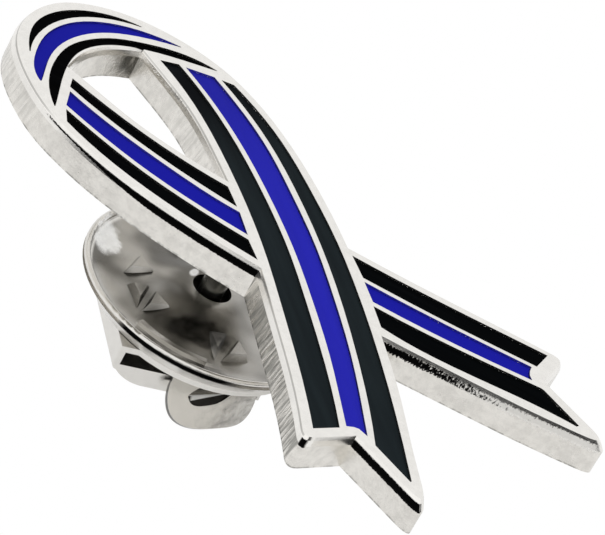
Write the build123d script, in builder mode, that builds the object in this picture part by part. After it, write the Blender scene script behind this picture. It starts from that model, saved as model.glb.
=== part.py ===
from build123d import *
import math
import os

# Ribbon lapel pin with a butterfly clutch, in millimetres.
# The pin rests by itself on the post's point and on two corners of the clutch. The floor
# is Z = 0 and the whole is centred over the origin. The ribbon is drawn on its face plane,
# which leans in the shared frame. Depths are counted behind the face plane.

# Ribbon
RIBBON_W = 17.5  # across the two tails
RIBBON_L = 31.7  # from the tail tips to the loop's top
PLATE_T = 1.6
POST_UP = 17.72  # from the tail tips to the post's axis
POST_SIDE = 0.25  # the post's axis off the middle line
LOOP_RX = 6.12  # half width of the loop's top
LOOP_RY = 6.12  # height of the loop's top over its centre
TIP_R = 1.3  # rounding of the tails' tips
HEEL_R = 0.6  # rounding of the tails' outer corners
ROUND_MOST = 0.98  # the most of an edge that a corner's rounding takes up
BEVEL_OUT = 0.13  # rolled top edge, across
BEVEL_DOWN = 0.38  # rolled top edge, down
BEVEL_MID = (54, 35)  # its middle line: percent of the way across and of the way down

# Enamel
POCKET_D = 0.45
ENAMEL_DOWN = 0.1  # enamel under the raised lines
ENAMEL_GAP = 0.012  # enamel to its pocket's wall and floor
END_AIM = 3.0  # the corners of a cell's end are drawn in towards a point this far up the cell
END_DRAW = 1.5  # by this many gaps

# Post, soldered to the plate's back
POST_R = 0.58
POST_L = 7.9  # behind the plate
POST_CONE = 1.0
POST_POINT_R = 0.12
PAD_R = 1.5
PAD_T = 0.3
GROOVE_R = 0.42
GROOVE_L = 0.55

# Clutch dish
CLUTCH_GAP = 3.4  # from the plate's back to the dish's lip
SHEET = 0.3
LIP_R = 5.92
LIP_W = 0.3  # width of the rolled lip
LIP_H = 0.14
LIP_ROLL = 0.1  # height of the lip's rolled top
SEAM_H = 0.18  # open seam under the lip
SEAM_D = 0.2
SKIRT_H = 1.12  # from the lip's front to the skirt's end
SKIRT_END_R = 5.2
DISH_DEPTH = 0.55  # deepest ring of the dish behind the lip

# Raised stamps on the dish
STAMP_H = 0.36
STAMP_TAPER = 24.0
STAMP_SETS = 2
ARC_FROM = 183.0
ARC_MID = 205.0
ARC_TO = 226.0
ARC_R = 4.5
ARC_W = 0.26
ARC_H = 0.16

# Clutch spring
CLUTCH_TURN = -33.0  # degrees that the clutch is turned on the post
SPRING_GAP = 0.02
BASE_R = 5.12
JAW_DROP = 0.68  # clear height of the side loops
JAW_GAP = 0.05  # jaws to the post, all round
BASE_GAP = 0.25  # base to the post, all round
JAW_SLIT = 0.1
STRIP_X = 4.4  # half length of the folded strip
STRIP_Y = 3.75  # half width of the folded strip
TONGUE_X = 2.7  # a tongue's free end past the post
TONGUE_CUT = 0.75  # a loop is narrower by this on its side without a flange
FOLD_R = 0.27
FLANGE_H = 0.9
EAR_W = 4.2
EAR_L = 2.25  # from the jaw plate's edge, along the ear
EAR_LEAN = 45.0  # degrees that an ear flares outward
LOUVER_W = 2.09
LOUVER_SHIFT = 0.255  # louver's middle off the clutch's middle
LOUVER_AT = 0.68  # along the ear
LOUVER_TURN = -13.8  # degrees that its mouth is turned against the fold
LOUVER_ARC = 0.39  # from the mouth to the end of the bulge
LOUVER_H = 0.25  # height of the bulge at its mouth
SLOT_L = 0.47  # from the mouth, towards the ear's end
SLOT_DEEP = 0.22

# Rest pose
LEAN = 14.726  # degrees about X that the face plane leans
ROLL = 22.387  # degrees about its own Y that it leans to the right
POST_TOP = (0.804, 1.559, 8.549)  # where the post's axis meets the face plane

os.makedirs("parts", exist_ok=True)

# Stations of the strand that lies on top. Shares in percent: Y of the ribbon's length
# from the tail tips, the others of its width from the middle line.
#   Y, left wall, black from, to, blue from, to, black from, to, right wall
OVER = [
    (75.7, 9.4, 12.3, 17.7, 19.1, 26.2, 27.8, 30.9, 33.8),
    (66.2, 3.0, 6.1, 12.6, 14.2, 22.2, 23.9, 28.3, 31.2),
    (56.8, -4.9, -1.6, 5.8, 7.5, 15.4, 17.4, 22.5, 25.9),
    (47.3, -14.5, -10.8, -2.5, -0.6, 7.3, 9.2, 15.2, 18.7),
    (37.9, -25.4, -21.4, -12.6, -10.3, -2.6, -0.5, 6.2, 9.9),
    (28.4, -36.5, -32.5, -23.5, -21.1, -13.7, -11.7, -4.2, -0.3),
    (18.9, -48.9, -44.9, -35.6, -33.4, -26.5, -24.1, -15.6, -11.5),
]
# The same for the strand below, from the loop's left side to the right tail.
UNDER = [
    (75.7, -33.7, -30.9, -26.6, -25.2, -19.2, -17.5, -13.2, -10.3),
    (66.2, -31.4, -28.2, -22.9, -21.3, -14.2, -12.5, -7.3, -4.2),
    (56.8, -25.9, -22.6, -16.7, -14.9, -7.4, -5.7, 1.1, 4.4),
    (47.3, -18.4, -15.2, -9.2, -7.3, 0.6, 2.5, 10.8, 14.2),
    (37.9, -9.4, -5.7, 1.1, 3.1, 10.9, 13.1, 20.9, 24.3),
    (28.4, 0.1, 4.1, 12.9, 14.8, 22.2, 23.7, 32.0, 35.3),
    (18.9, 11.2, 15.1, 25.1, 26.9, 33.9, 35.4, 43.7, 46.8),
]
# Rays of the loop's top. Degrees from its crown, then shares of its radius in percent.
#   degrees, outer wall, black outer, inner, blue outer, inner, black outer, inner
LOOP = [
    (-67.5, 92.8, 0, 0, 83.0, 78.5, 73.7, 63.1),
    (-45.0, 96.0, 84.9, 83.5, 79.4, 68.5, 64.0, 54.2),
    (-22.5, 98.9, 89.2, 81.7, 77.3, 63.9, 59.3, 50.7),
    (0.0, 100.0, 89.6, 80.9, 76.3, 62.4, 56.9, 49.2),
    (22.5, 96.7, 86.9, 80.7, 75.8, 63.9, 57.8, 49.8),
    (45.0, 92.6, 82.7, 81.9, 77.1, 69.0, 61.9, 53.4),
    (67.5, 91.5, 0, 0, 82.0, 79.5, 73.0, 63.1),
]
# Corners that end the strands, in the shares of the strands' tables.
OVER_TAIL = [(-24.0, 9.5), (-30.1, 4.7), (-36.0, 0.3), (-36.0, 15.1), (-51.4, 17.2)]
UNDER_TAIL = [(22.7, 9.5), (28.8, 5.0), (36.0, 0.0), (35.8, 14.3), (48.9, 16.6)]
LOOP_SIDE = 95.4  # outer wall at the loop's sides, in shares of the loop's radius
HOLE_CROWN = 45.2  # the same for the hole's top
HOLE_CORNER = {-1: (-50.0, 52.8), 1: (45.9, 51.6)}  # its upper corners: degrees and share
HOLE_RISE = 0.45
HOLE_WALL = {-1: (-12.4, 82.0), 1: (11.6, 82.2)}  # a point of its left and right walls

# The dish's sheet from its hole to its lip: percent of the lip's radius and of its depth.
DISH = [(15.5, -27), (28.0, -9), (44.0, 55), (67.5, 100), (87.0, 90), (94.9, 45)]
# Three-cornered stamps: degrees, then percent of the lip's radius, for each corner.
STAMPS = [
    ((114, 60), (138, 66), (128, 41)),
    ((172, 67), (151, 46), (150, 65)),
    ((185, 42), (154, 45), (175, 65)),
    ((232, 69), (252, 41), (224, 42)),
    ((256, 67), (259, 44), (236, 69)),
]
# A flange's lower edge: percent of the strip's half length and of the flange's height.
FLANGE = [(-100, 0), (-90, 52), (-76, 88), (-58, 100), (22, 100), (30, 0)]
# An ear's edge: percent of its width from the clutch's middle and of its length.
EAR = [(-33, 0), (-40, 52), (-31, 88), (-13, 100), (18, 91), (44, 71), (55, 37), (57, 0)]
# The slot in front of a louver's mouth: percent of the mouth's width and of the slot's length.
SLOT = [(0, 0), (14, 92), (25, 100), (41, 97), (61, 85), (78, 57), (90, 26), (100, 0)]

STATION_NEAR = 1  # stations this near an end corner, in percent or degrees, are left out

# Cells: table, its two columns, the corners at the top end and those at the bottom end,
# from the first column to the second, in the shares of the strands' tables.
CELLS = {
    "over_black_left": (OVER, 2, [(15.5, 85.3), (20.1, 83.8)], [(-45.3, 18.5), (-37.7, 17.4)]),
    "over_blue": (
        OVER,
        4,
        [(21.3, 83.0), (27.3, 80.1)],
        [(-35.5, 17.3), (-33.6, 16.8), (-32.7, 16.3), (-32.3, 14.8)],
    ),
    "over_black_right": (
        OVER,
        6,
        [(28.6, 79.3), (31.0, 77.9)],
        [(-32.6, 13.1), (-32.7, 6.2), (-32.2, 6.2)],
    ),
    "under_black_left": (UNDER, 2, [(-31.0, 77.8), (-27.7, 80.0)], [(-14.6, 46.9), (-11.5, 50.6)]),
    "under_blue": (UNDER, 4, [(-26.5, 80.7), (-21.4, 83.0)], [(-10.3, 51.4), (-6.1, 55.5)]),
    "under_black_right": (UNDER, 6, [(-20.1, 83.8), (-16.9, 85.2)], [(-5.3, 56.5), (-2.1, 60.3)]),
    "tail_black_left": (
        UNDER,
        2,
        [(2.3, 30.7), (6.2, 34.4)],
        [(31.3, 6.1), (32.3, 6.1), (32.5, 13.2), (32.2, 13.7)],
    ),
    "tail_blue": (
        UNDER,
        4,
        [(7.3, 35.1), (10.7, 38.7)],
        [(31.9, 15.3), (32.7, 16.2), (33.9, 16.8), (35.8, 17.4)],
    ),
    "tail_black_right": (UNDER, 6, [(11.5, 39.4), (14.9, 43.5)], [(37.5, 17.2), (44.3, 18.4)]),
}
# Crescents: the first of the two columns, then the degrees and the shares of the radius
# of the left and right points.
CRESCENTS = {
    "loop_black_outer": (2, (-47.4, 84.5, 83.6), (44.0, 82.7, 81.8)),
    "loop_blue": (4, (-70.6, 82.5, 81.2), (66.8, 81.7, 80.9)),
    "loop_black_inner": (6, (-89.1, 86.6, 85.6), (88.5, 86.3, 85.4)),
}


def share_point(p):
    """A point given in percent of the ribbon's width and length, seen from the post."""
    return Vector(RIBBON_W * p[0] / 100 - POST_SIDE, RIBBON_L * p[1] / 100 - POST_UP)


def loop_point(degrees, share):
    """A point of the loop's top, from the ray's angle and percent of the loop's radius."""
    a = math.radians(degrees)
    across = LOOP_RX * share / 100 * math.sin(a)
    up = LOOP_RY * share / 100 * math.cos(a)
    return Vector(across - POST_SIDE, RIBBON_L - LOOP_RY - POST_UP + up)


def moved(points, side, d):
    """A rail's points moved by d to its left (side 1) or right (side -1), ends drawn in."""
    out = []
    for i, p in enumerate(points):
        along = (points[min(i + 1, len(points) - 1)] - points[max(i - 1, 0)]).normalized()
        out.append(p + Vector(-along.Y, along.X) * side * d)
    out[0] += (points[1] - points[0]).normalized() * d
    out[-1] += (points[-2] - points[-1]).normalized() * d
    return out


def strip_outline(a, b, middle, inset):
    """The area between the rails a and b, closed at the end through the middle points."""
    across = b[0] - a[0]
    along = a[1] - a[0]
    side = 1 if along.X * across.Y - along.Y * across.X > 0 else -1
    if inset:
        centre = (a[-1] + b[-1]) * 0.5 + (a[-2] - a[-1]).normalized() * END_AIM
        middle = [p + (centre - p).normalized() * inset * END_DRAW for p in middle]
        a, b = moved(a, side, inset), moved(b, -side, inset)
    with BuildSketch() as outline:
        with BuildLine():
            Spline(*a)
            Polyline(a[-1], *middle, b[-1])
            Spline(*reversed(b))
            Line(b[0], a[0])
        make_face()
    return outline.sketch


def cell_outline(name, inset):
    table, column, top, bottom = CELLS[name]
    rows = [r for r in table if bottom[0][1] + STATION_NEAR < r[0] < top[0][1] - STATION_NEAR]
    a = [top[0], *[(r[column], r[0]) for r in rows], bottom[0]]
    rows = [r for r in table if bottom[-1][1] + STATION_NEAR < r[0] < top[-1][1] - STATION_NEAR]
    b = [top[-1], *[(r[column + 1], r[0]) for r in rows], bottom[-1]]
    a, b, middle = [[share_point(p) for p in shares] for shares in (a, b, bottom[1:-1])]
    return strip_outline(a, b, middle, inset)


def crescent_outline(name, inset):
    column, left, right = CRESCENTS[name]
    rows = [r for r in LOOP if left[0] + STATION_NEAR < r[0] < right[0] - STATION_NEAR]
    a = [loop_point(left[0], left[1]), *[loop_point(r[0], r[column]) for r in rows]]
    b = [loop_point(left[0], left[2]), *[loop_point(r[0], r[column + 1]) for r in rows]]
    a.append(loop_point(right[0], right[1]))
    b.append(loop_point(right[0], right[2]))
    return strip_outline(a, b, [], inset)


def inset_chain(points, side, d):
    """A chain of points moved by d to its left (side 1) or right (side -1), with mitres."""
    out = []
    for i, p in enumerate(points):
        before = (p - points[i - 1]).normalized() if i else (points[1] - p).normalized()
        after = (points[i + 1] - p).normalized() if i + 1 < len(points) else before
        n1, n2 = Vector(-before.Y, before.X), Vector(-after.Y, after.X)
        out.append(p + (n1 + n2) * (side * d / (1 + n1.dot(n2))))
    return out


def corner_ends(before, corner, after, r):
    """Where the rounding of a corner starts and ends, no further than the corner's edges."""
    r = min(r, ROUND_MOST * (before - corner).length, ROUND_MOST * (after - corner).length)
    return corner + (before - corner).normalized() * r, corner + (after - corner).normalized() * r


def strand_outline(side, inset):
    """One strand with its half of the loop: side 1 has the right half and the left tail."""
    table, tail = (OVER, OVER_TAIL) if side > 0 else (UNDER, UNDER_TAIL)
    wall_out, wall_in = (-1, 1) if side > 0 else (1, -1)
    rays = [r for r in LOOP if r[0] * side >= 0]
    outer = [loop_point(r[0], r[1]) for r in sorted(rays, key=lambda r: abs(r[0]))]
    outer += [loop_point(90 * side, LOOP_SIDE)]
    outer += [share_point((r[wall_out], r[0])) for r in table]
    outer += [share_point(p) for p in tail[:2]]
    corners = [share_point(p) for p in tail[2:]]
    # The lowest station of this wall is left out, because the heel's rounding reaches it
    inner = [share_point((r[wall_in], r[0])) for r in reversed(table[:-1])]
    inner += [share_point(HOLE_WALL[side])]
    hole = [loop_point(*HOLE_CORNER[side]), loop_point(0, HOLE_CROWN)]
    chain = inset_chain([*outer, *corners, *inner, *hole], -side, inset)
    for end in (0, -1):
        chain[end] = Vector(outer[0].X, chain[end].Y)
    outer, chain = chain[: len(outer)], chain[len(outer) :]
    (tip, notch, heel), inner = chain[:3], chain[3:-2]
    hole_side, hole_crown = chain[-2:]
    tip_before, tip_after = corner_ends(outer[-1], tip, notch, TIP_R)
    heel_before, heel_after = corner_ends(notch, heel, inner[0], HEEL_R)
    with BuildSketch() as outline:
        with BuildLine():
            ends = [(side, 0), outer[-1] - outer[-2]]
            Spline(*outer, tangents=ends, tangent_scalars=(1, 1))
            Line(outer[-1], tip_before)
            Bezier(tip_before, tip, tip_after)
            Polyline(tip_after, notch, heel_before)
            Bezier(heel_before, heel, heel_after)
            Spline(heel_after, *inner, hole_side)
            Spline(hole_side, hole_crown, tangents=[(-side, HOLE_RISE), (-side, 0)])
            Line(hole_crown, outer[0])
        make_face()
    return outline.sketch


def polar(degrees, r):
    return (r * math.cos(math.radians(degrees)), r * math.sin(math.radians(degrees)))


def louver_bulge(face):
    """The louver's bulge on the ear's outer face: a cap of a ball, cut off at its mouth."""
    half = LOUVER_W / 2
    arc_r = (half**2 + LOUVER_ARC**2) / (2 * LOUVER_ARC)
    sunk = (half**2 - LOUVER_H**2) / (2 * LOUVER_H)
    with BuildPart(face) as bulge:
        with Locations((0, LOUVER_ARC - arc_r, -sunk)):
            Sphere(math.hypot(arc_r, sunk))
        split(bisect_by=face, keep=Keep.TOP)
        split(bisect_by=Plane(face.origin, x_dir=face.x_dir, z_dir=face.y_dir), keep=Keep.TOP)
    return bulge.part


def ear_solid():
    """The near ear, flat on its own plane, with its pressed louver and the slot before it."""
    points = [(EAR_W * x / 100, EAR_L * y / 100) for x, y in EAR]
    slot = [(LOUVER_W * (x / 100 - 1 / 2), -SLOT_L * y / 100) for x, y in SLOT]
    mouth = polar(LOUVER_TURN, 1)
    face = Plane(origin=(LOUVER_SHIFT, LOUVER_AT, -SHEET), x_dir=(*mouth, 0), z_dir=(0, 0, -1))
    bulge = louver_bulge(face)
    with BuildPart() as ear:
        with BuildSketch():
            with BuildLine():
                Spline(*points)
                Line(points[-1], points[0])
            make_face()
        extrude(amount=-SHEET)
        with BuildSketch(face):
            with BuildLine():
                Spline(*slot)
                Line(slot[-1], slot[0])
            make_face()
        extrude(amount=-SLOT_DEEP, mode=Mode.SUBTRACT)
        add(bulge)
    return ear.part


def export(piece, name):
    piece.part.label = name
    export_step(piece.part, f"parts/{name}.step")
    print(name, len(piece.part.solids()), round(piece.part.volume, 3))


# The ribbon's face plane, with its origin on the post's axis, and the clutch's plane
lean = Plane.XY.rotated((LEAN, ROLL, 0))
FACE = Plane(origin=POST_TOP, x_dir=lean.x_dir, z_dir=lean.z_dir)
turn = math.radians(CLUTCH_TURN)
clutch_x = FACE.x_dir * math.cos(turn) + FACE.y_dir * math.sin(turn)
CLUTCH = Plane(origin=FACE.origin, x_dir=clutch_x, z_dir=FACE.z_dir)
SECTION = Plane(origin=FACE.origin, x_dir=CLUTCH.x_dir, z_dir=-CLUTCH.y_dir)
AXIS = Axis(FACE.origin, FACE.z_dir)

# Depths behind the face plane
LIP_TOP = PLATE_T + CLUTCH_GAP
SKIRT_END = LIP_TOP + SKIRT_H
BASE_TOP = SKIRT_END + SPRING_GAP
JAW_TOP = BASE_TOP + SHEET + JAW_DROP
POST_TIP = PLATE_T + POST_L

# Ribbon plate with its post
with BuildPart() as ribbon_plate:
    for side in (1, -1):
        with BuildSketch(FACE.offset(-BEVEL_DOWN)):
            add(strand_outline(side, 0))
        extrude(amount=BEVEL_DOWN - PLATE_T)
        for across, down in ((0, 100), BEVEL_MID, (100, 0)):
            with BuildSketch(FACE.offset(-BEVEL_DOWN * down / 100)):
                add(strand_outline(side, BEVEL_OUT * across / 100))
        loft(ruled=True)
    with BuildSketch(FACE):
        for name in CELLS:
            add(cell_outline(name, 0))
        for name in CRESCENTS:
            add(crescent_outline(name, 0))
    extrude(amount=-POCKET_D, mode=Mode.SUBTRACT)
    with BuildSketch(FACE.offset(-PLATE_T)):
        Circle(PAD_R)
    extrude(amount=-PAD_T)
    with BuildSketch(SECTION):
        with BuildLine():
            Polyline(
                (0, -PLATE_T),
                (POST_R, -PLATE_T),
                (POST_R, -JAW_TOP),
                (GROOVE_R, -JAW_TOP),
                (GROOVE_R, -JAW_TOP - GROOVE_L),
                (POST_R, -JAW_TOP - GROOVE_L),
                (POST_R, -POST_TIP + POST_CONE),
                (POST_POINT_R, -POST_TIP),
                (0, -POST_TIP),
                close=True,
            )
        make_face()
    revolve(axis=AXIS)
export(ribbon_plate, "ribbon_plate")

# Enamel
for name in [*CELLS, *CRESCENTS]:
    with BuildPart() as enamel:
        with BuildSketch(FACE.offset(-ENAMEL_DOWN)):
            add((cell_outline if name in CELLS else crescent_outline)(name, ENAMEL_GAP))
        extrude(amount=ENAMEL_DOWN + ENAMEL_GAP - POCKET_D)
    export(enamel, name)

# Clutch dish: front sheet with a hole, a hollow ring and a rolled lip, and its skirt
sheet = [(LIP_R * r / 100, -LIP_TOP - DISH_DEPTH * d / 100) for r, d in DISH]
under = [(x, y - SHEET) for x, y in reversed(sheet[:-1])]
LIP_IN = LIP_R - LIP_W
LIP_SIDE = -LIP_TOP - LIP_ROLL
LIP_END = -LIP_TOP - LIP_H
SEAM_END = LIP_END - SEAM_H
with BuildPart() as clutch_dish:
    with BuildSketch(SECTION):
        with BuildLine():
            Spline(*sheet)
            Line(sheet[-1], (LIP_IN, LIP_SIDE))
            ThreePointArc((LIP_IN, LIP_SIDE), (LIP_R - LIP_W / 2, -LIP_TOP), (LIP_R, LIP_SIDE))
            Polyline(
                (LIP_R, LIP_SIDE),
                (LIP_R, LIP_END),
                (LIP_R - SEAM_D, LIP_END),
                (LIP_R - SEAM_D, SEAM_END),
                (LIP_R, SEAM_END),
                (SKIRT_END_R, -SKIRT_END),
                (SKIRT_END_R - SHEET, -SKIRT_END),
                (LIP_IN - SHEET, SEAM_END - SHEET),
                under[0],
            )
            Spline(*under)
            Line(under[-1], sheet[0])
        make_face()
    revolve(axis=AXIS)
    with BuildSketch(FACE.offset(-LIP_TOP - DISH_DEPTH)):
        with PolarLocations(0, STAMP_SETS):
            for stamp in STAMPS:
                Polygon(*[polar(degrees, LIP_R * r / 100) for degrees, r in stamp], align=None)
    extrude(amount=STAMP_H, taper=STAMP_TAPER)
    with BuildSketch(FACE.offset(-LIP_TOP - DISH_DEPTH - SHEET / 2)):
        for turned in range(0, 360, 360 // STAMP_SETS):
            ends = [polar(degrees + turned, ARC_R) for degrees in (ARC_FROM, ARC_MID, ARC_TO)]
            with BuildLine():
                ThreePointArc(*ends)
            trace(line_width=ARC_W)
    extrude(amount=SHEET / 2 + ARC_H)
export(clutch_dish, "clutch_dish")

# Clutch spring: base disc, two side loops, jaw plates, flanges and two ears of one sheet
with BuildPart() as clutch_spring:
    with BuildSketch(CLUTCH.offset(-BASE_TOP)):
        Circle(BASE_R)
        Rectangle(2 * STRIP_X, 2 * BASE_R, mode=Mode.INTERSECT)
        Rectangle(2 * STRIP_X, 2 * STRIP_Y)
    extrude(amount=-SHEET)
    with BuildSketch(CLUTCH.offset(-BASE_TOP)):
        with GridLocations(2 * STRIP_X - SHEET, 0, 2, 1):
            Rectangle(SHEET, 2 * STRIP_Y)
    extrude(amount=-(JAW_TOP - BASE_TOP + SHEET))
    with BuildSketch(CLUTCH.offset(-JAW_TOP)):
        Rectangle(2 * STRIP_X, 2 * STRIP_Y)
    extrude(amount=-SHEET)
    across = Axis(CLUTCH.origin, CLUTCH.y_dir)
    for end in (0, -1):
        folds = clutch_spring.edges().filter_by(across).group_by(AXIS)[0]
        fillet(folds.sort_by(Axis(CLUTCH.origin, CLUTCH.x_dir))[end], FOLD_R)
    # Each loop is narrower on its side without a flange
    with BuildSketch(CLUTCH.offset(-BASE_TOP - SHEET)):
        for end in (1, -1):
            with Locations((end * (TONGUE_X + STRIP_X) / 2, -end * (STRIP_Y - TONGUE_CUT / 2))):
                Rectangle(STRIP_X - TONGUE_X, TONGUE_CUT)
    extrude(amount=BASE_TOP - JAW_TOP - SHEET, mode=Mode.SUBTRACT)
    for end in (1, -1):
        wall = Plane(
            origin=CLUTCH.origin - CLUTCH.y_dir * end * STRIP_Y,
            x_dir=CLUTCH.x_dir * end,
            z_dir=-CLUTCH.y_dir * end,
        )
        with BuildSketch(wall):
            with BuildLine():
                edge = [(STRIP_X * x / 100, -JAW_TOP - FLANGE_H * y / 100) for x, y in FLANGE]
                Spline(*edge[:-2])
                Polyline(edge[-3], edge[-2], edge[-1], edge[0])
            make_face()
        extrude(amount=-SHEET)
        fold = CLUTCH.origin - CLUTCH.y_dir * end * (STRIP_Y - SHEET) - CLUTCH.z_dir * JAW_TOP
        flare = math.radians(EAR_LEAN)
        outward = -CLUTCH.y_dir * end * math.sin(flare) - CLUTCH.z_dir * math.cos(flare)
        along = CLUTCH.x_dir * end
        ear = Plane(origin=fold, x_dir=along, z_dir=along.cross(outward))
        add(ear.location * ear_solid())
    with BuildSketch(CLUTCH.offset(-BASE_TOP)):
        Circle(POST_R + BASE_GAP)
    extrude(amount=-SHEET, mode=Mode.SUBTRACT)
    with BuildSketch(CLUTCH.offset(-JAW_TOP)):
        Circle(POST_R + JAW_GAP)
        Rectangle(2 * TONGUE_X, JAW_SLIT)
        for end in (1, -1):
            with Locations((end * TONGUE_X, -end * STRIP_Y / 2)):
                Rectangle(JAW_SLIT, STRIP_Y + JAW_SLIT)
    extrude(amount=-SHEET, mode=Mode.SUBTRACT)
export(clutch_spring, "clutch_spring")
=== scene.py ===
import math

import bpy
from mathutils import Euler, Matrix, Vector

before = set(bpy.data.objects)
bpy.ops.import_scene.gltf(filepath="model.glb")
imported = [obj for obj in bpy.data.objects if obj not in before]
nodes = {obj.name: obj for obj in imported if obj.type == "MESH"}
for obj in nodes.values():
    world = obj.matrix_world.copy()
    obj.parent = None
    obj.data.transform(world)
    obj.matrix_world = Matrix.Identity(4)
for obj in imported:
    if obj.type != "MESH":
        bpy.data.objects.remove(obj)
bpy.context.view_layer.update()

MM = 0.001

# How the pin lies: its face plane leans about X and about its own length, and the post's
# axis meets that plane here.
LEAN = math.radians(14.726)
ROLL = math.radians(22.387)
POST_TOP = Vector((0.804, 1.559, 8.549)) * MM
PIN_BACK = (-LEAN, -ROLL, 0)  # turns a direction into the pin's own
pin_turn = Euler((LEAN, 0, 0)).to_matrix() @ Euler((0, ROLL, 0)).to_matrix()

# The camera, seen from the post's top in the pin's own directions, in millimetres
CAMERA_AT = Vector((-133.268, -75.694, 94.454))
CAMERA_RIGHT = Vector((0.644762, -0.641302, 0.415950))
CAMERA_UP = Vector((0.172630, 0.652272, 0.738065))
CAMERA_BACK = Vector((-0.744635, -0.404070, 0.531268))
CAMERA_LENS = 249.87
SENSOR = 36.0

# Studio. Heights on the dome are sines of elevations.
FLOOR_SIZE = 4.0
FLOOR_GREY = 0.45
FLOOR_GLOW = 0.5
SKY_LOW = 0.85  # the dome's brightness near the floor
SKY_HIGH = 1.02  # and overhead
SKY_RISE = (0.1, 0.7)  # it brightens between these heights
ROOM_LOW = 0.03  # the dark room behind the camera
ROOM_HIGH = 0.42
ROOM_SOFT = (0.03, 0.08)  # softness of its lower and its upper edge
ROOM_SIDES = (0.2, 0.45)  # its sides fade out here, as cosines off the camera's direction
ROOM_DARK = 0.98

# Sizes of the pin in millimetres, in its own directions: across, along and out of the face
PLATE_T = 1.6
POST_R = 0.58
LIP_IN = 5.62  # the dish's rolled lip
ARC_EDGES = (4.37, 4.63)  # the arcs raised on the dish
SEAM = (-5.40, -5.12)  # depths of the open seam under the lip
SHEET = 0.3
CLUTCH_TURN = math.radians(-33)

# Ears, measured along the fold and out from it
EAR_FOLD = (3.45, 7.12)  # the fold off the clutch's middle and behind the face
EAR_FLARE = math.radians(45)
EAR_ALONG = (-1.85, 2.5)
EAR_OUT = (0.35, 2.5)
SLOT_ALONG = (-0.9, 1.4)
SLOT_OUT = (0.2, 1.4)
MOUTH_OUT = 0.743  # the louver's mouth
MOUTH_SLOPE = 0.246
HUNG_SLOPE = 0.145  # the painted highlight in the slot narrows by this
HUNG_START = (-0.6, -0.45)

# Marks on the struck metal
STREAK_TURN = (math.radians(13), math.radians(-9), 0)  # streaks that the die left on the walls
SHEARED_TO = (-1.2, 0.3)  # hard shearing fades out here, along the ribbon
LINE = (-0.47, -0.16)  # depths of the painted dark reflection under the rolled edge
LINE_THINS = (0.5, 6.5)  # along the ribbon it thins here
LINE_THINNER = 0.25  # by this
LINE_STARTS = (7.2, 8.0)  # and it starts here
LINE_RAGGED = (-0.8, 0.2)  # across the ribbon it turns ragged here
CREASE = (-0.09, -0.03)  # depths of the crease in the rolled edge, where a grey reflection is painted
POST_SHADE = (-2.3, -2.0)  # depths behind which the post is painted dark as shade

# Marks on the dish
SEAM_SEEN = (-4.6, -0.5)  # the stretch of the seam painted black as shade, along the ribbon
SEAM_LEFT = (-2.2, -1.0)  # and how far it goes across

# Spots: middle, half sizes, and turn about the face's normal in degrees
HOLE_SHADE = ((2.05, 10.0, -0.65), (1.3, 0.9, 1.0), 0)
DISH_REFLECTED_PLATE = ((-2.3, -1.65, -5.4), (1.9, 0.95, 1.6), -45)
DISH_GLINT = ((-2.1, 4.62, -5.5), (1.35, 0.75, 1.6), 42)
HOLE_GLINT = ((-0.12, 1.12, -4.9), (0.42, 0.22, 0.4), 20)

# Colours. In a pair, the pattern runs from the first to the second.
LIT_FACE_NICKEL = ((0.93, 0.91, 0.872, 1), (0.86, 0.842, 0.805, 1))
SHADED_WALL_NICKEL = ((0.84, 0.817, 0.77, 1), (0.70, 0.68, 0.64, 1))
LIP_NICKEL = ((0.79, 0.77, 0.73, 1), (0.70, 0.68, 0.645, 1))
SHADED_DISH_NICKEL = ((0.46, 0.445, 0.415, 1), (0.155, 0.148, 0.134, 1))
SPRING_NICKEL = ((0.80, 0.782, 0.745, 1), (0.70, 0.684, 0.65, 1))
BRIGHT_BEVEL = (0.95, 0.93, 0.885, 1)
MOUTH_HIGHLIGHT = (0.95, 0.95, 0.93, 1)
GRIME_AND_SHADE = (0.17, 0.17, 0.155, 1)
CUT_EDGE = (0.1, 0.1, 0.095, 1)
SLOT_SHADE = (0.025, 0.024, 0.022, 1)
REFLECTED_PLATE = (0.02, 0.019, 0.017, 1)
PITCH = (0.004, 0.004, 0.004, 1)
GLINT_GLOW = (0.18, 0.18, 0.17, 1)
NO_GLOW = (0, 0, 0, 1)
WHITE = (1, 1, 1, 1)

# Enamel of each strand: how its drifts are turned, and its index of refraction
STRANDS = {"over": (math.radians(-28), 1.06), "under": (math.radians(30), 1.035)}
# Its colours, the deep one and the one with a painted sheen
ENAMEL = {
    ("over", "black"): ((0.0006, 0.0006, 0.0015, 1), (0.013, 0.019, 0.022, 1)),
    ("over", "blue"): ((0.017, 0.017, 0.36, 1), (0.021, 0.021, 0.46, 1)),
    ("under", "black"): ((0.0002, 0.0002, 0.0003, 1), (0.001, 0.0015, 0.002, 1)),
    ("under", "blue"): ((0.012, 0.013, 0.34, 1), (0.012, 0.013, 0.38, 1)),
}
LIT_TO = (1.0, 8.0)  # the painted sheen fades out here, along the ribbon


class Shade:
    """A number in a material, so that its maths reads as Python."""

    def __init__(self, finish, socket):
        self.finish = finish
        self.socket = socket

    def _math(self, operation, first, second=0.0):
        return self.finish.add("ShaderNodeMath", {"operation": operation}, {0: first, 1: second})

    def __add__(self, other):
        return self._math("ADD", self, other)

    def __sub__(self, other):
        return self._math("SUBTRACT", self, other)

    def __rsub__(self, other):
        return self._math("SUBTRACT", other, self)

    def __mul__(self, other):
        return self._math("MULTIPLY", self, other)

    def __pow__(self, other):
        return self._math("POWER", self, other)

    def __abs__(self):
        return self._math("ABSOLUTE", self)

    __radd__ = __add__
    __rmul__ = __mul__


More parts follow.
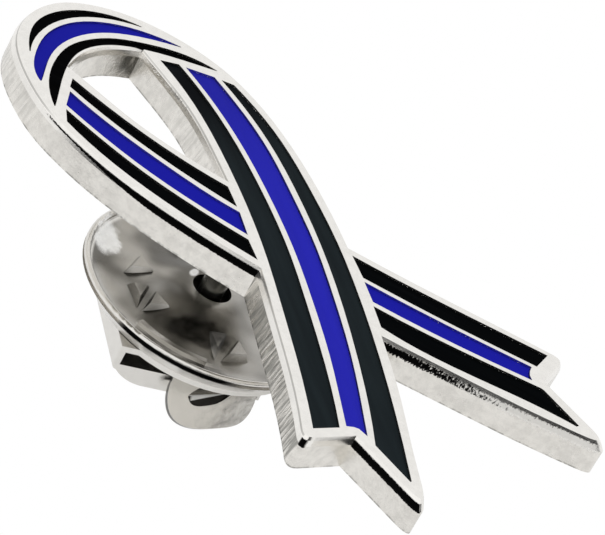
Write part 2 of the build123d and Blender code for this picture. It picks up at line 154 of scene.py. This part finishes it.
class Finish:
    """A material or the studio's light, put together node by node."""

    def __init__(self, owner, shader):
        owner.use_nodes = True
        self.tree = owner.node_tree
        self.tree.nodes.clear()
        kind = "World" if isinstance(owner, bpy.types.World) else "Material"
        out = self.tree.nodes.new(f"ShaderNodeOutput{kind}")
        self.shader = self.tree.nodes.new(shader)
        self.tree.links.new(self.shader.outputs[0], out.inputs["Surface"])

    def set(self, **sockets):
        for name, value in sockets.items():
            self._feed(self.shader.inputs[name.replace("_", " ")], value)

    def _feed(self, socket, value):
        if isinstance(value, Shade):
            self.tree.links.new(value.socket, socket)
        else:
            socket.default_value = value

    def add(self, kind, settings, sockets, output=0):
        """A node of this type with its settings made first and its sockets fed after."""
        node = self.tree.nodes.new(kind)
        for name, value in settings.items():
            setattr(node, name, value)
        for name, value in sockets.items():
            self._feed(node.inputs[name], value)
        return Shade(self, node.outputs[output])

    def step(self, value, low, high):
        """0 below low, 1 above high and smooth between them."""
        settings = {"interpolation_type": "SMOOTHSTEP"}
        sockets = {"Value": value, "From Min": low, "From Max": high}
        return self.add("ShaderNodeMapRange", settings, sockets)

    def below(self, value, low, high):
        """1 below low, 0 above high and smooth between them."""
        return 1 - self.step(value, low, high)

    def between(self, value, low, high, soft=0.02):
        """1 from low to high, falling to 0 over the soft width outside."""
        return self.step(value, low - soft, low) * self.below(value, high, high + soft)

    def mapped(self, vector, kind, turn, sizes, start=(0, 0, 0)):
        sockets = {"Vector": vector, "Location": start, "Rotation": turn, "Scale": sizes}
        return self.add("ShaderNodeMapping", {"vector_type": kind}, sockets)

    def place(self):
        """The place on the pin in millimetres: across, along and out of the face."""
        start = pin_turn.inverted() @ POST_TOP / -MM
        spot = self.add("ShaderNodeTexCoord", {}, {}, "Object")
        return self.mapped(spot, "POINT", PIN_BACK, (1 / MM, 1 / MM, 1 / MM), start)

    def facing(self):
        """The way the surface faces, in the pin's own directions."""
        way = self.add("ShaderNodeTexCoord", {}, {}, "Normal")
        return self.mapped(way, "POINT", PIN_BACK, (1, 1, 1))

    def parts_of(self, vector):
        """The three numbers of a vector."""
        node = self.tree.nodes.new("ShaderNodeSeparateXYZ")
        self._feed(node.inputs[0], vector)
        return [Shade(self, socket) for socket in node.outputs]

    def noise(self, place, sizes, turn=(0, 0, 0), detail=3.0, rough=0.5):
        """Cloudy pattern from 0 to 1, with clouds of these sizes in millimetres."""
        own = self.mapped(place, "TEXTURE", turn, sizes)
        sockets = {"Vector": own, "Scale": 1.0, "Detail": detail, "Roughness": rough}
        return self.add("ShaderNodeTexNoise", {}, sockets)

    def stirred(self, place, size, amount):
        """The place pushed about by up to this many millimetres, in swirls of this size."""
        own = self.mapped(place, "TEXTURE", (0, 0, 0), (size, size, size))
        push = self.add("ShaderNodeTexNoise", {}, {"Vector": own, "Scale": 1.0, "Detail": 3.0}, 1)
        middle = self.mapped(place, "POINT", (0, 0, 0), (1, 1, 1), (-amount, -amount, -amount))
        reach = (2 * amount, 2 * amount, 2 * amount)
        settings = {"operation": "MULTIPLY_ADD"}
        return self.add("ShaderNodeVectorMath", settings, {0: push, 1: reach, 2: middle})

    def spot(self, place, at, sizes, degrees):
        """1 in the middle of an egg of these half sizes, falling to 0 at its skin."""
        own = self.mapped(place, "TEXTURE", (0, 0, math.radians(degrees)), sizes, at)
        far = self.add("ShaderNodeVectorMath", {"operation": "LENGTH"}, {0: own}, 1)
        return self.below(far, 0.55, 1.0)

    def blend(self, share, first, second):
        """A colour between two colours."""
        node = self.tree.nodes.new("ShaderNodeMix")
        node.data_type = "RGBA"
        for name, value in (("Factor_Float", share), ("A_Color", first), ("B_Color", second)):
            socket = next(s for s in node.inputs if s.identifier == name)
            self._feed(socket, value)
        colour = next(s for s in node.outputs if s.identifier == "Result_Color")
        return Shade(self, colour)

    def bump(self, height):
        """The surface raised by this many millimetres."""
        sockets = {"Height": height, "Strength": 1.0, "Distance": MM}
        return self.add("ShaderNodeBump", {}, sockets)


def new_finish(name):
    material = bpy.data.materials.new(name)
    return material, Finish(material, "ShaderNodeBsdfPrincipled")


def struck_nickel():
    """Bright nickel plate over a struck and trimmed blank, streaked where the die sheared it."""
    material, metal = new_finish("struck_nickel")
    place = metal.place()
    x, y, z = metal.parts_of(place)
    nx, ny, nz = metal.parts_of(metal.facing())
    clouds = metal.noise(place, (1.4, 1.4, 1.4))
    mottle = metal.noise(place, (0.42, 0.42, 0.42), detail=5.0, rough=0.65)
    grain = metal.noise(place, (0.1, 0.1, 0.1))
    fine = metal.noise(place, (0.075, 0.075, 1.6), STREAK_TURN, 3.0, 0.6)
    broad = metal.noise(place, (0.24, 0.24, 2.4), STREAK_TURN, 2.0, 0.5)
    wall = metal.below(abs(nz), 0.03, 0.25)

    # The lower half of the upper strand's left wall is sheared hard, the rest lightly
    # Their dark streaks are partly shear marks and partly a painted reflection of shade
    upward = metal.step(ny, 0.05, 0.35)
    hard = upward * metal.step(0 - nx, 0.3, 0.6) * metal.below(y, *SHEARED_TO)
    sheared = wall * (0.3 * upward + 0.7 * hard)
    dark = sheared * metal.step(broad, 0.4, 0.58) * metal.step(fine, 0.3, 0.52)
    streaks = (0.35 * fine + broad) * (sheared + 0.12 * wall)

    # Under the rim the bevel is painted black, a painted dark reflection, on the walls that look
    # down and left. The line thins out along the loop, and along the right tail it breaks up into
    # a painted highlight on the bevel.
    ragged = z + 0.1 * (grain - 0.5) + 0.4 * (fine - 0.5) * metal.step(x, *LINE_RAGGED)
    lowest = LINE_THINNER * metal.step(y, *LINE_THINS) + LINE[0]
    bevel = metal.between(ragged, lowest, LINE[1]) * metal.step(0 - nx, 0.45, 0.65)
    bevel = bevel * metal.below(ny, 0.1, 0.3)
    broken = metal.step(0.6 * fine + 0.4 * grain + 0.1 * x, 0.66, 0.76)
    bright_bevel = bevel * broken
    reflection_line = bevel * (1 - broken) * metal.below(y + 2.5 * (grain - 0.5), *LINE_STARTS)
    # The crease in the rolled edge gets a painted grey reflection
    crease = metal.between(z, *CREASE) * metal.step(0 - nx, 0.2, 0.4) * metal.step(ny, 0.0, 0.2)

    # Dull burr along the back edge, painted shade on the wall over the loop's hole and on the post
    burr = metal.below(z, 0.05 - PLATE_T, 0.09 - PLATE_T)
    burr = burr * metal.step(z, -0.1 - PLATE_T, -PLATE_T) * metal.step(mottle, 0.42, 0.6) * wall
    hole_shade = metal.spot(place, *HOLE_SHADE) * wall * metal.step(0 - ny, 0.1, 0.4)
    hole_shade = hole_shade * metal.step(broad + 0.3 * clouds, 0.45, 0.7)
    off_axis = (x * x + y * y) ** 0.5
    post = metal.below(off_axis, POST_R, POST_R + 0.05) * metal.below(z, *POST_SHADE)

    tone = metal.step(0.7 * mottle + 0.3 * clouds, 0.35, 0.68)
    # The face is painted lighter than the walls: a painted highlight on the face and painted shade
    # on the walls
    face = metal.blend(tone, *LIT_FACE_NICKEL)
    side = metal.blend(tone, *SHADED_WALL_NICKEL)
    # Shear marks and burr, with painted shade and painted reflection, darken the nickel
    grime_and_shade = 0.72 * dark + 0.6 * burr + 0.85 * hole_shade + 0.9 * post + 0.5 * crease
    darkened = metal.blend(grime_and_shade, metal.blend(wall, face, side), GRIME_AND_SHADE)
    metal.set(
        Base_Color=metal.blend(reflection_line, metal.blend(bright_bevel, darkened, BRIGHT_BEVEL), PITCH),
        Metallic=1 - 0.9 * bright_bevel,
        Roughness=0.15 + 0.1 * clouds + 0.15 * dark + 0.06 * wall + 0.3 * reflection_line,
        Normal=metal.bump(0.05 * streaks + 0.014 * mottle * wall + 0.002 * grain),
    )
    return material


def dish_nickel():
    """Nickel on the clutch's dish: cloudy and painted dark as shade inside, bright on the lip and
    outside.
    """
    material, metal = new_finish("dish_nickel")
    place = metal.place()
    x, y, z = metal.parts_of(place)
    off_axis = (x * x + y * y) ** 0.5
    forward = metal.parts_of(metal.facing())[2]
    clouds = metal.noise(place, (2.1, 2.1, 2.1), detail=1.5, rough=0.45)
    mottle = metal.noise(place, (0.45, 0.45, 0.45), detail=4.0)
    grain = metal.noise(place, (0.12, 0.12, 0.12))
    front = metal.step(forward, 0.1, 0.4)
    inside = front * metal.below(off_axis, LIP_IN - 0.25, LIP_IN - 0.1)

    # The dish has a glowing painted highlight in two places and one dark patch of painted
    # reflection of the plate
    swirled = metal.stirred(place, 0.9, 0.6)
    reflected_plate = metal.spot(swirled, *DISH_REFLECTED_PLATE) * inside * (1.2 - 0.8 * mottle)
    glint = metal.spot(swirled, *DISH_GLINT) + metal.spot(place, *HOLE_GLINT)
    glint = glint * (0.65 + 0.5 * mottle) * front

    # The raised arcs get only half the painted shade, and painted shade darkens a line in the
    # crease along the lip's inner edge
    arc = metal.between(off_axis, *ARC_EDGES)
    arc = arc * metal.step(x * y, 0.3, 1.2) * metal.step(abs(x), 2.4, 3.5)
    lip_crease_shade = metal.between(off_axis, LIP_IN - 0.06, LIP_IN + 0.06) * front

    # The seam under the lip is painted black as shade on the left, and the skirt below it is
    # duller
    seam_shade = metal.between(z, *SEAM) * metal.step(off_axis, LIP_IN - 0.1, LIP_IN)
    seam_shade = seam_shade * metal.between(y, *SEAM_SEEN, 0.6) * metal.below(x, *SEAM_LEFT)
    skirt = metal.step(0 - forward, 0.4, 0.6)

    # Inside the lip the darker nickel is painted shade under the plate
    bright = metal.blend(mottle, *LIP_NICKEL)
    darkened = metal.blend(metal.step(clouds, 0.32, 0.66), *SHADED_DISH_NICKEL)
    coat = metal.blend(inside * (1 - 0.5 * arc) + 0.6 * lip_crease_shade, bright, darkened)
    coat = metal.blend(glint, metal.blend(reflected_plate, coat, REFLECTED_PLATE), WHITE)
    metal.set(
        Base_Color=metal.blend(seam_shade, coat, PITCH),
        Metallic=1 - 0.85 * glint - 0.9 * seam_shade - 0.6 * skirt,
        Emission_Color=metal.blend(glint, NO_GLOW, GLINT_GLOW),
        Emission_Strength=1.0,
        Roughness=0.15 + 0.12 * clouds + 0.04 * inside,
        Normal=metal.bump(0.16 * clouds + 0.004 * mottle + 0.001 * grain),
    )
    return material


def ear_place(metal, place, end):
    """The place on one ear: along its fold, out from the fold and through the sheet."""
    along = Vector((math.cos(CLUTCH_TURN), math.sin(CLUTCH_TURN), 0)) * end
    away = Vector((along.y, -along.x, 0))
    outward = away * math.sin(EAR_FLARE) - Vector((0, 0, math.cos(EAR_FLARE)))
    fold = away * EAR_FOLD[0] - Vector((0, 0, EAR_FOLD[1]))
    turn = Matrix((along, outward, along.cross(outward)))
    return metal.mapped(place, "POINT", turn.to_euler(), (1, 1, 1), turn @ -fold)


def spring_nickel():
    """Bright nickel on the clutch's spring, with dull sheared edges, painted shade in the slots
    and painted highlights at the louvers' mouths.
    """
    material, metal = new_finish("spring_nickel")
    place = metal.place()
    clouds = metal.noise(place, (1.6, 1.6, 1.6))
    mottle = metal.noise(place, (0.4, 0.4, 0.4), detail=4.0)
    grain = metal.noise(place, (0.12, 0.12, 0.12))
    edge, slot_shade, mouth_highlight = 0, 0, 0
    for end in (1, -1):
        along, out, deep = metal.parts_of(ear_place(metal, place, end))
        cut = metal.between(deep, 0.03 - SHEET, -0.05) * metal.between(along, *EAR_ALONG, 0.05)
        near = metal.between(along, *SLOT_ALONG) * metal.between(out, *SLOT_OUT)
        edge = edge + cut * metal.between(out, *EAR_OUT, 0.1)
        # The slot is painted dark as shade
        slot_shade = slot_shade + cut * near
        # The mouth of the bulge gets a painted highlight, and so does the part of the slot that it
        # hangs over
        past = out + MOUTH_SLOPE * along - MOUTH_OUT
        over = near * metal.between(deep, -1, -0.02 - SHEET, 0.01) * metal.step(past, -0.05, -0.01)
        hung = cut * near * metal.below(past + HUNG_SLOPE * along, 0.11, 0.15)
        mouth_highlight = mouth_highlight + over + hung * metal.step(along, *HUNG_START)
    darkened = metal.blend(0.9 * edge, metal.blend(mottle, *SPRING_NICKEL), CUT_EDGE)
    metal.set(
        Base_Color=metal.blend(mouth_highlight, metal.blend(slot_shade, darkened, SLOT_SHADE), MOUTH_HIGHLIGHT),
        Metallic=1 - 0.85 * mouth_highlight,
        Roughness=0.16 + 0.1 * clouds,
        Normal=metal.bump(0.03 * clouds + 0.003 * mottle + 0.001 * grain),
    )
    return material


def soft_enamel(name, colours, strand_turn, refraction):
    """Enamel, a little uneven in its colour and its gloss, in drifts along its strand, with a
    painted sheen that fades along the ribbon.
    """
    material, enamel = new_finish(name)
    place = enamel.place()
    clouds = enamel.noise(place, (0.6, 6.0, 1.0), (0, 0, strand_turn), 2.0)
    pits = enamel.noise(place, (0.17, 0.17, 0.17))
    lit = enamel.below(enamel.parts_of(place)[1], *LIT_TO)
    enamel.set(
        Base_Color=enamel.blend(0.25 * enamel.step(clouds, 0.3, 0.7) + 0.75 * lit, *colours),
        Roughness=0.18 + 0.12 * clouds,
        IOR=refraction,
        Normal=enamel.bump(0.03 * clouds + 0.002 * pits),
    )
    return material


def studio_light():
    """A bright dome with a dark room behind the camera, low over the floor."""
    world = bpy.data.worlds.new("studio")
    bpy.context.scene.world = world
    light = Finish(world, "ShaderNodeBackground")
    x, y, z = light.parts_of(light.add("ShaderNodeTexCoord", {}, {}, "Generated"))
    dome = SKY_LOW + light.step(z, *SKY_RISE) * (SKY_HIGH - SKY_LOW)
    toward = pin_turn @ CAMERA_BACK
    toward.z = 0
    toward.normalize()
    room = light.step(x * toward.x + y * toward.y, *ROOM_SIDES)
    room = room * light.step(z, ROOM_LOW - ROOM_SOFT[0], ROOM_LOW)
    room = room * light.below(z, ROOM_HIGH, ROOM_HIGH + ROOM_SOFT[1])
    seen = light.add("ShaderNodeLightPath", {}, {}, "Is Camera Ray")
    glow = dome * (1 - ROOM_DARK * room)
    light.set(Color=WHITE, Strength=glow * (1 - seen) + seen)


def add_floor():
    """A white floor that lights the pin from below and isn't seen itself."""
    bpy.ops.mesh.primitive_plane_add(size=FLOOR_SIZE, location=(0, 0, 0))
    floor = bpy.context.object
    floor.name = "floor"
    material, paper = new_finish("white_paper")
    paper.set(
        Base_Color=(FLOOR_GREY, FLOOR_GREY, FLOOR_GREY, 1),
        Roughness=0.9,
        Specular_IOR_Level=0.1,
        Emission_Color=WHITE,
        Emission_Strength=FLOOR_GLOW,
    )
    floor.data.materials.append(material)
    floor.visible_camera = False


def add_camera():
    camera_data = bpy.data.cameras.new("camera")
    camera = bpy.data.objects.new("camera", camera_data)
    bpy.context.collection.objects.link(camera)
    camera_data.lens = CAMERA_LENS
    camera_data.sensor_width = SENSOR
    camera_data.sensor_fit = "HORIZONTAL"
    camera_data.clip_start = 0.01
    camera_data.clip_end = 20.0
    view = camera.matrix_world.copy()
    for column, way in enumerate((CAMERA_RIGHT, CAMERA_UP, CAMERA_BACK)):
        view.col[column][:3] = pin_turn @ way
    view.translation = POST_TOP + pin_turn @ (CAMERA_AT * MM)
    camera.matrix_world = view
    bpy.context.scene.camera = camera


def dress(node, material):
    obj = nodes[node]
    obj.data.materials.clear()
    obj.data.materials.append(material)


def dress_enamel():
    for (strand, colour), colours in ENAMEL.items():
        material = soft_enamel(f"{strand}_{colour}_enamel", colours, *STRANDS[strand])
        for node in nodes:
            if colour in node and node.startswith("over") == (strand == "over"):
                dress(node, material)


dress_enamel()
dress("ribbon_plate", struck_nickel())
dress("clutch_dish", dish_nickel())
dress("clutch_spring", spring_nickel())
studio_light()
add_floor()
add_camera()
bpy.context.scene.view_settings.view_transform = "Standard"
